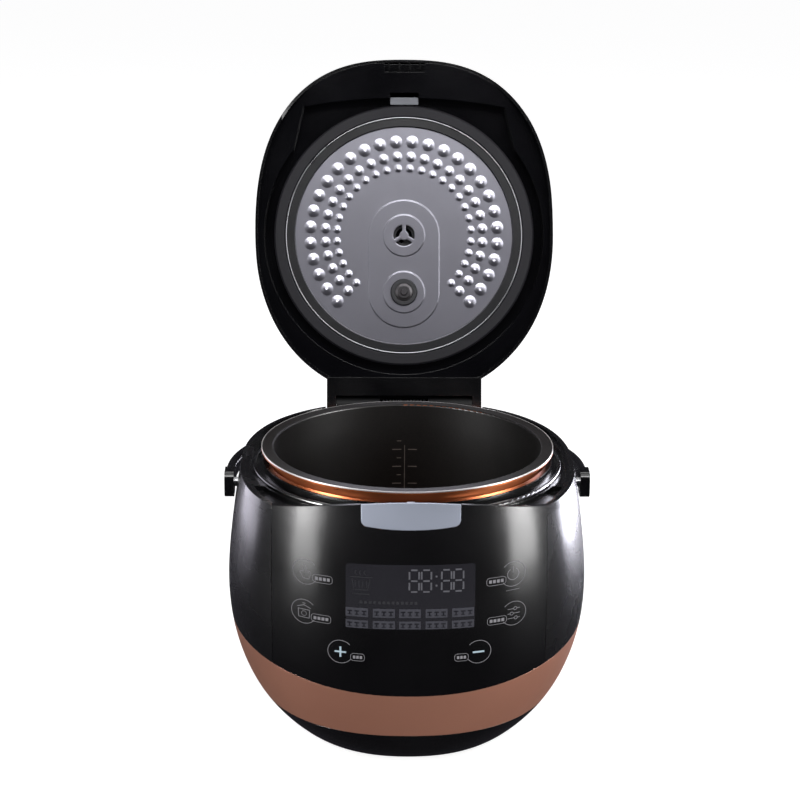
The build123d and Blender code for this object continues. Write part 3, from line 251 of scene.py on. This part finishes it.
paint(drawn_metal("sensor_turned", (0.66, 0.66, 0.67), 0.3, 700, (1, 1, 0.05)), "sensor_cap")
paint(surface("board_mask", (0.02, 0.16, 0.07), 0.35, coat=0.4, mottle=0.25, mottle_scale=160),
      "control_board", "power_board")
paint(surface("chip_package", (0.02, 0.02, 0.022), 0.5, mottle=0.2), "board_chips")
paint(surface("display_block", (0.03, 0.03, 0.034), 0.4), "display_module")
paint(surface("spring_copper", (0.62, 0.36, 0.2), 0.3, metal=1), "touch_springs")
paint(surface("winding_tape", (0.55, 0.42, 0.05), 0.5, coat=0.2, mottle=0.1), "transformer")
paint(surface("relay_case", (0.03, 0.08, 0.3), 0.35, mottle=0.1, edge=0.3), "power_relay")
paint(surface("capacitor_sleeve", (0.02, 0.02, 0.045), 0.3, coat=0.3), "filter_capacitors")
paint(surface("inlet_moulding", (0.02, 0.02, 0.021), 0.5, mottle=0.2, bump=0.2, edge=0.4), "power_inlet")
paint(surface("contact_plate", (0.72, 0.7, 0.62), 0.25, metal=1), "inlet_pins")
paint(surface("wire_sleeve", (0.30, 0.08, 0.05), 0.5, mottle=0.1), "mains_wires")
paint(surface("lid_gloss", (0.0018, 0.0018, 0.0022), 0.16, coat=0.7, mottle=0.2, edge=0.5, bump=0.015,
              rough_spread=0.02), "lid_cover")
paint(surface("liner_gloss", (0.0016, 0.0016, 0.0022), 0.12, mottle=0.2, edge=0.5, bump=0.01,
              rough_spread=0.02), "lid_liner")
paint(surface("post_metal", (0.09, 0.085, 0.09), 0.35, metal=0.8, edge=0.2), "lid_post")
paint(surface("vent_silicone", (0.012, 0.012, 0.014), 0.6, mottle=0.1), "vent_tube", "valve_well")
paint(surface("valve_moulding", (0.05, 0.05, 0.055), 0.4, edge=0.3), "valve_cup")
paint(surface("valve_gloss", (0.010, 0.010, 0.012), 0.18, coat=0.6, edge=0.4), "valve_cap")
paint(surface("gasket_silicone", (0.010, 0.0095, 0.0125), 0.6, mottle=0.1, grain=700, bump=0.15, edge=0.8,
              level=0.3),
      "lid_gasket")
paint(surface("ring_satin", (0.003, 0.003, 0.0045), 0.38, mottle=0.1, edge=0.4), "plate_ring")
paint(drawn_metal("lid_aluminium", (0.42, 0.415, 0.475), 0.30, 1500, (1, 0.03, 0.03), 1.3), "lid_plate")
paint(surface("grommet_silicone", (0.02, 0.02, 0.023), 0.45, edge=0.4), "post_grommet")
paint(surface("tab_plated", (0.13, 0.135, 0.15), 0.35, metal=0.6, mottle=0.05, edge=0.4), "release_tab")
paint(surface("button_silver", (0.35, 0.38, 0.46), 0.36, metal=0.5, mottle=0.03, mottle_scale=8, grain=2500,
              bump=0.03, edge=0.7), "latch_button")
paint(surface("hook_pressed", (0.45, 0.45, 0.46), 0.35, metal=1), "latch_hook")
paint(surface("handle_gloss", (0.0018, 0.0018, 0.0022), 0.22, coat=0.5, mottle=0.2, edge=0.8),
      "carry_handle")
paint(pot_finish(), "inner_pot")


# ---------------------------------------------------------------- printed marks laid on the curved front
def tree_of(*names):
    """A ray-casting tree of these nodes' meshes together."""
    points, faces = [], []
    for name in names:
        mesh = nodes[name].data
        start = len(points)
        points += [v.co.copy() for v in mesh.vertices]
        faces += [[start + k for k in p.vertices] for p in mesh.polygons]
    return BVHTree.FromPolygons(points, faces)


front_tree = tree_of("front_panel", "display_window")
pot_tree = tree_of("inner_pot")
PRINT_RISE = 0.06  # how far a printed mark stands off its surface, mm
FILM_THICK = 0.05  # thickness of a printed mark, mm
RAY_START_Y = -0.4  # in front of the whole body
POT_BORE_R = 112.5  # radius of the pot's inside wall, mm


def on_front(x, z):
    """The point of the front at x, z in mm, just off the surface, in metres."""
    hit, *_ = front_tree.ray_cast(Vector((x * MM, RAY_START_Y, z * MM)), Vector((0, 1, 0)))
    return hit + Vector((0, -PRINT_RISE * MM, 0))


def on_pot_wall(across, z):
    """The point of the pot's rear inside wall, across mm round from the middle and z mm up, in metres."""
    angle = across / POT_BORE_R
    outward = Vector((math.sin(angle), math.cos(angle), 0))
    hit, *_ = pot_tree.ray_cast(Vector((0, 0, z * MM)), outward)
    return hit - outward * PRINT_RISE * MM


class Print:
    """Flat marks gathered into one thin mesh: ribbons along lines and filled patches."""

    def __init__(self, place):
        self.place = place
        self.points = []
        self.faces = []

    def ribbon(self, line, width, closed=False, step=0.8):
        """A ribbon of constant width along a line of (x, z) points."""
        line = resample(line, step, closed)
        count = len(line)
        first = len(self.points)
        for k, (x, z) in enumerate(line):
            before = line[k - 1] if k or closed else line[0]
            after = line[(k + 1) % count] if k < count - 1 or closed else line[-1]
            dx, dz = after[0] - before[0], after[1] - before[1]
            length = math.hypot(dx, dz) or 1.0
            nx, nz = -dz / length * width / 2, dx / length * width / 2
            self.points.append(self.place(x + nx, z + nz))
            self.points.append(self.place(x - nx, z - nz))
        for k in range(count if closed else count - 1):
            a = first + 2 * k
            b = first + 2 * ((k + 1) % count)
            self.faces.append((a, a + 1, b + 1, b))

    def patch(self, corners, step=2.0):
        """A filled four-sided patch, divided so that it follows the surface."""
        (ax, az), (bx, bz), (cx, cz), (dx, dz) = corners
        across = max(1, round(math.hypot(bx - ax, bz - az) / step))
        up = max(1, round(math.hypot(dx - ax, dz - az) / step))
        first = len(self.points)
        for j in range(up + 1):
            v = j / up
            for i in range(across + 1):
                u = i / across
                x = (1 - u) * (1 - v) * ax + u * (1 - v) * bx + u * v * cx + (1 - u) * v * dx
                z = (1 - u) * (1 - v) * az + u * (1 - v) * bz + u * v * cz + (1 - u) * v * dz
                self.points.append(self.place(x, z))
        for j in range(up):
            for i in range(across):
                a = first + j * (across + 1) + i
                self.faces.append((a, a + 1, a + across + 2, a + across + 1))

    def box(self, left, low, right, top):
        """A filled upright rectangle."""
        self.patch([(left, low), (right, low), (right, top), (left, top)])

    def piece(self, name, material, body):
        """The gathered marks as one object that rides on a body."""
        mesh = bpy.data.meshes.new(name)
        mesh.from_pydata([tuple(p) for p in self.points], [], self.faces)
        mesh.materials.append(material)
        made = bpy.data.objects.new(name, mesh)
        bpy.context.scene.collection.objects.link(made)
        thick = made.modifiers.new("film", "SOLIDIFY")
        thick.thickness = FILM_THICK * MM
        thick.offset = 1
        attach(made, body)
        return made


def resample(line, step, closed):
    """Points along a line no further apart than step."""
    ends = list(line) + ([line[0]] if closed else [])
    out = []
    for (ax, az), (bx, bz) in zip(ends, ends[1:]):
        parts = max(1, math.ceil(math.hypot(bx - ax, bz - az) / step))
        out += [(ax + (bx - ax) * k / parts, az + (bz - az) * k / parts) for k in range(parts)]
    return out if closed else out + [ends[-1]]


def arc(cx, cz, radius, start, end, steps=48):
    """Points of an arc from start to end degrees."""
    count = max(3, round(abs(end - start) / 360 * steps))
    return [(cx + radius * math.cos(math.radians(start + (end - start) * k / count)),
             cz + radius * math.sin(math.radians(start + (end - start) * k / count)))
            for k in range(count + 1)]


def pill(cx, cz, width, height):
    """The outline of a label with rounded ends."""
    r = 0.75 * min(width, height) / 2
    left, right, low, top = cx - width / 2, cx + width / 2, cz - height / 2, cz + height / 2
    return (arc(right - r, top - r, r, 90, 0, 24) + arc(right - r, low + r, r, 0, -90, 24)
            + arc(left + r, low + r, r, -90, -180, 24) + arc(left + r, top - r, r, 180, 90, 24))


print_grey = surface("print_grey", (0.20, 0.195, 0.21), 0.4, mottle=0.06, mottle_scale=300)
print_light = surface("print_light", (0.34, 0.44, 0.50), 0.35, mottle=0.05, mottle_scale=300)
digit_grey = surface("digit_grey", (0.085, 0.085, 0.097), 0.35, mottle=0.08, mottle_scale=300)
label_grey = surface("label_grey", (0.045, 0.045, 0.056), 0.35, mottle=0.08, mottle_scale=300)
label_dark = surface("label_dark", (0.006, 0.006, 0.009), 0.35, mottle=0.08, mottle_scale=300)
faint_grey = surface("faint_grey", (0.026, 0.026, 0.030), 0.35, mottle=0.08, mottle_scale=300)

RING_R = 10.0  # ring round a touch key, mm
LINE = 0.42  # width of a printed line, mm
PILL_DX, PILL_DZ = 13.6, -3.6  # label's centre from its key's centre
PILL_WIDE, PILL_TALL = 15.6, 6.4
SHORT_PILL = 11
CAPTION_PITCH = 3.6


def label_marks(marks, cx, cz, width):
    """Small plain bars inside a label, standing for its printed caption."""
    count = max(2, round(width / CAPTION_PITCH))
    pitch = (width - 3) / count
    for k in range(count):
        x = cx - (count - 1) / 2 * pitch + k * pitch
        marks.box(x - pitch * 0.36, cz - 1.3, x + pitch * 0.36, cz + 1.3)


def key_ring(marks, x, z, side, width=PILL_WIDE):
    """A touch key's ring, open towards its label, and the label's outline and caption bars."""
    gap_low, gap_high = (-35, 42) if side > 0 else (138, 215)
    marks.ribbon(arc(x, z, RING_R, gap_high, gap_low + 360, 60), LINE)
    centre = x + side * PILL_DX
    marks.ribbon(pill(centre, z + PILL_DZ, width, PILL_TALL), LINE * 0.8, closed=True)
    label_marks(marks, centre, z + PILL_DZ, width)


keys = Print(on_front)
KEYS = {  # x, z in mm and the side that the key's label is on
    "hand": (-83.0, 174.9, 1),
    "pot": (-84.2, 141.7, 1),
    "power": (81.5, 173.6, -1),
    "sliders": (82.5, 140.5, -1),
}
for kx, kz, side in KEYS.values():
    key_ring(keys, kx, kz, side)
PLUS, MINUS = (-55.2, 111.8), (54.5, 111.8)
key_ring(keys, *PLUS, 1, SHORT_PILL)
key_ring(keys, *MINUS, -1, SHORT_PILL)

hx, hz, _ = KEYS["hand"]
keys.ribbon([(hx - 4.2, hz - 1.0), (hx - 1.6, hz - 5.2), (hx + 3.0, hz - 5.4), (hx + 4.2, hz - 1.6),
             (hx + 3.8, hz + 0.9), (hx + 0.9, hz + 1.4), (hx + 0.4, hz + 5.6), (hx - 1.1, hz + 6.0),
             (hx - 1.6, hz + 0.2), (hx - 3.0, hz + 0.6)],
            LINE * 0.9, closed=True)
for k in range(3):
    keys.ribbon([(hx + 0.2 + k * 1.25, hz - 0.8), (hx + 0.2 + k * 1.25, hz + 1.2)], LINE * 0.6)

px, pz, _ = KEYS["pot"]
keys.ribbon([(px - 4.6, pz + 1.8), (px - 4.2, pz - 5.0), (px + 4.2, pz - 5.0), (px + 4.6, pz + 1.8)],
            LINE, closed=True)
keys.ribbon([(px - 5.4, pz + 3.4), (px, pz + 5.6), (px + 5.4, pz + 3.4)], LINE)
keys.ribbon(arc(px, pz - 1.6, 2.0, 0, 360, 20), LINE * 0.7)
keys.ribbon([(px - 1.2, pz + 7.0), (px + 1.2, pz + 7.0)], LINE)

wx, wz, _ = KEYS["power"]
keys.ribbon(arc(wx, wz, 4.6, 118, 422, 40), LINE * 1.2)
keys.ribbon([(wx, wz + 1.2), (wx, wz + 6.2)], LINE * 1.2)
keys.ribbon([(wx - 5.5, wz - 13.0), (wx + 5.5, wz - 13.0)], LINE * 0.7)

sx, sz, _ = KEYS["sliders"]
for k, knob in ((-1, 1.8), (0, -1.6), (1, 1.2)):
    z = sz + 4.0 * k
    keys.ribbon([(sx - 5, z), (sx + knob - 1.3, z)], LINE)
    keys.ribbon([(sx + knob + 1.3, z), (sx + 5, z)], LINE)
    keys.ribbon(arc(sx + knob, z, 1.3, 0, 360, 16), LINE)
keys.piece("key_marks", print_grey, "body")

SIGN_HALF, SIGN_THIN, SIGN_CLEAR = 4.6, 0.75, 0.8  # half length, half thickness, start of the upright bars
signs = Print(on_front)
for x, z in (PLUS, MINUS):
    signs.box(x - SIGN_HALF, z - SIGN_THIN, x + SIGN_HALF, z + SIGN_THIN)
x, z = PLUS
signs.box(x - SIGN_THIN, z + SIGN_CLEAR, x + SIGN_THIN, z + SIGN_HALF)
signs.box(x - SIGN_THIN, z - SIGN_HALF, x + SIGN_THIN, z - SIGN_CLEAR)
signs.piece("sign_marks", print_light, "body")

# ---------------------------------------------------------------- display: digits, labels and a pot symbol
DIGIT_W, DIGIT_H = 7.6, 17.6
DIGIT_LOW = 165.3
DIGIT_LEFTS = (-1.0, 8.6, 24.4, 34.0)
SEGMENT = 1.9
NICK = 0.35  # gap between neighbouring segments
BAR_HALF = SEGMENT / 2 - 0.3  # half thickness of a segment


def digit(marks, left, low):
    """All seven segments of one digit, each a slim bar."""
    half = DIGIT_H / 2
    right = left + DIGIT_W
    reach = SEGMENT / 2 + NICK
    for z in (low, low + half, low + 2 * half):
        marks.box(left + reach, z - BAR_HALF, right - reach, z + BAR_HALF)
    for x in (left, right):
        for z in (low, low + half):
            marks.box(x - BAR_HALF, z + reach, x + BAR_HALF, z + half - reach)


digits = Print(on_front)
for left in DIGIT_LEFTS:
    digit(digits, left, DIGIT_LOW)
COLON_X, COLON_RISES, COLON_HALF = 20.3, (5.0, 12.4), 0.7
for rise in COLON_RISES:
    z = DIGIT_LOW + rise
    digits.box(COLON_X - COLON_HALF, z - COLON_HALF, COLON_X + COLON_HALF, z + COLON_HALF)
digits.piece("display_digits", digit_grey, "body")

LABEL_COLUMNS = ((-51.0, -33.4), (-29.6, -12.2), (-8.9, 8.2), (12.0, 29.2), (32.9, 50.3))
LABEL_ROWS = ((143.6, 150.9), (134.0, 140.6))
LABEL_INSET = 3.1  # first and last mark's centre from the label's ends
labels = Print(on_front)
for low, top in LABEL_ROWS:
    for left, right in LABEL_COLUMNS:
        labels.box(left, low, right, top)
labels.piece("display_labels", label_grey, "body")


def above_labels(x, z):
    """The front's point, a little further off, so that it lies on top of a label."""
    return on_front(x, z) + Vector((0, -PRINT_RISE * MM, 0))


dark = Print(above_labels)
for low, top in LABEL_ROWS:
    middle = (low + top) / 2
    for left, right in LABEL_COLUMNS:
        for k in range(3):
            x = left + LABEL_INSET + k * (right - left - 2 * LABEL_INSET) / 2
            dark.box(x - 1.9, middle + 0.5, x + 1.9, middle + 1.5)
            dark.box(x - 0.5, middle - 1.9, x + 0.5, middle + 0.3)
            dark.box(x - 1.7, middle - 2.2, x + 1.7, middle - 1.6)
dark.piece("label_marks", label_dark, "body")

faint = Print(on_front)
faint.ribbon([(-46, 175), (-44.6, 166), (-33.4, 166), (-32, 175)], 0.6)
faint.ribbon([(-48, 176.4), (-30, 176.4)], 0.6)
faint.ribbon([(-46, 162.6), (-32, 162.6)], 0.6)
for k in range(4):
    x = -43.5 + 3 * k
    faint.ribbon([(x, 168), (x, 173.5)], 0.5)
for k in range(3):
    faint.ribbon(arc(-42 + 3.5 * k, 180, 1.6, 250, 110, 20), 0.5)
for k in range(13):
    faint.box(-40 + 3.6 * k, 154.8, -37.8 + 3.6 * k, 157.2)
faint.piece("display_symbols", faint_grey, "body")

# ---------------------------------------------------------------- level marks on the pot's rear inside wall
levels = Print(on_pot_wall)
LEVEL_LOW, LEVEL_STEP = 110.0, 16.0
for k in range(6):
    z = LEVEL_LOW + k * LEVEL_STEP
    levels.ribbon([(-11, z), (-3, z)], 0.9)
    levels.ribbon([(3, z), (11, z)], 0.9)
    levels.ribbon([(-7, z + LEVEL_STEP / 2), (-3, z + LEVEL_STEP / 2)], 0.7)
levels.ribbon([(0, LEVEL_LOW - 4), (0, LEVEL_LOW + 5 * LEVEL_STEP + 4)], 0.6)
level_finish = surface("level_marks", (0.085, 0.068, 0.06), 0.4, mottle=0.1, mottle_scale=300)
levels.piece("pot_levels", level_finish, "inner_pot")

# ------------------------------------------------ bright bead between the lid's gasket and its plate
HINGE_Y, HINGE_Z = 156.0, 217.4
LID_TURN = math.radians(-107)
BEAD_R, BEAD_Z, BEAD_THICK = 107.8, 233.0, 0.55
BEAD_STEPS, BEAD_SIDES = 160, 8


def on_open_lid(x, y, z):
    """A point of the shut lid in mm, moved to where the open lid carries it, in metres."""
    dy, dz = y - HINGE_Y, z - HINGE_Z
    turned_y = HINGE_Y + dy * math.cos(LID_TURN) - dz * math.sin(LID_TURN)
    turned_z = HINGE_Z + dy * math.sin(LID_TURN) + dz * math.cos(LID_TURN)
    return (x * MM, turned_y * MM, turned_z * MM)


bead_points, bead_faces = [], []
for i in range(BEAD_STEPS):
    around = 2 * math.pi * i / BEAD_STEPS
    for j in range(BEAD_SIDES):
        section = 2 * math.pi * j / BEAD_SIDES
        radius = BEAD_R + BEAD_THICK * math.cos(section)
        bead_points.append(on_open_lid(radius * math.cos(around), radius * math.sin(around),
                                       BEAD_Z + BEAD_THICK * math.sin(section)))
        here, there = i * BEAD_SIDES, (i + 1) % BEAD_STEPS * BEAD_SIDES
        beside = (j + 1) % BEAD_SIDES
        bead_faces.append((here + j, there + j, there + beside, here + beside))
bead_mesh = bpy.data.meshes.new("plate_bead")
bead_mesh.from_pydata(bead_points, [], bead_faces)
for face in bead_mesh.polygons:
    face.use_smooth = True
bead_mesh.materials.append(surface("bead_steel", (0.55, 0.55, 0.58), 0.3, metal=1, mottle=0.1))
bead = bpy.data.objects.new("plate_bead", bead_mesh)
bpy.context.scene.collection.objects.link(bead)
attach(bead, "inner_lid")

# ---------------------------------------------------------------- camera
CAMERA_PLACE = Vector((-0.0398, -1.90007, 0.85501))
CAMERA_LOOK = Vector((0.0168, 0.9557, -0.29387))
CAMERA_ROLL = 0.4
camera_data = bpy.data.cameras.new("camera")
camera_data.sensor_width = 36.0
camera_data.lens = 106.5
camera_data.clip_end = 50
camera = bpy.data.objects.new("camera", camera_data)
bpy.context.scene.collection.objects.link(camera)
turn = CAMERA_LOOK.to_track_quat("-Z", "Y").to_matrix().to_4x4()
roll = Matrix.Rotation(math.radians(CAMERA_ROLL), 4, "Z")
camera.matrix_world = Matrix.Translation(CAMERA_PLACE) @ turn @ roll
bpy.context.scene.camera = camera


# ---------------------------------------------------------------- floor, surroundings and lights
floor_mesh = bpy.data.meshes.new("floor")
FLOOR_HALF = 8
floor_corners = [(x * FLOOR_HALF, y * FLOOR_HALF, 0) for x, y in ((-1, -1), (1, -1), (1, 1), (-1, 1))]
floor_mesh.from_pydata(floor_corners, [], [(0, 1, 2, 3)])
floor = bpy.data.objects.new("floor", floor_mesh)
bpy.context.scene.collection.objects.link(floor)
floor_finish, floor_tree, floor_shader = start_material("floor_paper")
paper = noise(floor_tree, 3, 2)
paper_colour = blend_colours(floor_tree, between(floor_tree, paper, 0, 1), (0.55, 0.55, 0.55),
                             (0.58, 0.58, 0.58))
floor_tree.links.new(paper_colour, floor_shader.inputs["Base Color"])
floor_shader.inputs["Roughness"].default_value = 0.9
floor_shader.inputs["Emission Color"].default_value = (1, 1, 1, 1)
floor_shader.inputs["Emission Strength"].default_value = 0.95
floor_mesh.materials.append(floor_finish)
floor.visible_glossy = False
floor.visible_shadow = False

world = bpy.data.worlds.new("studio")
bpy.context.scene.world = world
world.use_nodes = True
sky = world.node_tree
backdrop = sky.nodes["Background"]
rays = sky.nodes.new("ShaderNodeLightPath")
seen = sky.nodes.new("ShaderNodeMix")
seen.data_type = "RGBA"
seen.inputs[6].default_value = (0.022, 0.021, 0.026, 1)
seen.inputs[7].default_value = (1.0, 1.0, 1.0, 1)
sky.links.new(rays.outputs["Is Camera Ray"], seen.inputs["Factor"])
sky.links.new(seen.outputs[2], backdrop.inputs["Color"])
backdrop.inputs["Strength"].default_value = 1.0
bpy.context.scene.view_settings.view_transform = "Standard"

AIM = Vector((0, 0, 0.2))


def softbox(name, azimuth, elevation, distance, width, height, power, colour=(1, 1, 1), aim=AIM, only=None,
            gloss=False):
    """A rectangular soft light, azimuth 0 in front and positive to the right.

    only is the collection that it lights, and with gloss it shows in reflections alone.
    """
    light = bpy.data.lights.new(name, "AREA")
    light.shape = "RECTANGLE"
    light.size = width
    light.size_y = height
    light.energy = power
    light.color = colour
    lamp = bpy.data.objects.new(name, light)
    bpy.context.scene.collection.objects.link(lamp)
    a, e = math.radians(azimuth), math.radians(elevation)
    towards = Vector((math.sin(a) * math.cos(e), -math.cos(a) * math.cos(e), math.sin(e)))
    lamp.location = aim + distance * towards
    lamp.rotation_euler = (aim - lamp.location).to_track_quat("-Z", "Y").to_euler()
    lamp.visible_camera = False
    lamp.visible_diffuse = not gloss
    if only:
        lamp.light_linking.receiver_collection = only
    return lamp


def receivers(name, members):
    """A collection of objects that a light reaches, kept out of the scene's own tree."""
    made = bpy.data.collections.new(name)
    for o in members:
        made.objects.link(o)
    return made


CASING = ("top_frame", "front_panel", "outer_shell", "rose_band", "base_cover", "display_window",
          "latch_button", "carry_handle", "inner_pot")
casing = receivers("casing", [nodes[n] for n in CASING])
band = receivers("band", [nodes["rose_band"]])
inside = receivers("inside", [o for o in bpy.data.objects
                              if o.type == "MESH" and o.name not in CASING
                              and not o.name.startswith("floor")])


softbox("case_left", -66, 22, 1.9, 0.62, 1.1, 185, only=casing, gloss=True)
softbox("case_left_low", -60, 0, 1.9, 0.75, 0.9, 12, only=casing, gloss=True)
softbox("case_right", 72, 22, 1.9, 0.62, 1.1, 175, only=casing, gloss=True)
softbox("case_right_low", 70, 0, 1.9, 0.9, 0.9, 20, only=casing, gloss=True)
softbox("case_right_side", 134, 6, 1.9, 1.0, 1.5, 90, (0.90, 0.89, 1.0), only=casing, gloss=True)
softbox("case_left_side", -130, 6, 1.9, 1.0, 1.5, 14, (0.90, 0.87, 1.0), only=casing, gloss=True)
softbox("box_left", -52, 18, 1.9, 0.75, 1.3, 6, only=inside)
softbox("box_right", 50, 28, 1.9, 0.8, 1.3, 14, only=inside)
softbox("band_left", -62, 8, 1.9, 0.9, 0.9, 7, only=band)
softbox("band_right", 72, 8, 1.9, 0.9, 0.9, 18, only=band)
softbox("box_front", 4, 53, 2.2, 1.8, 0.8, 34)
softbox("box_top", 0, 88, 1.9, 1.2, 1.0, 7)
softbox("box_back", 180, 50, 2.3, 1.8, 1.0, 10)
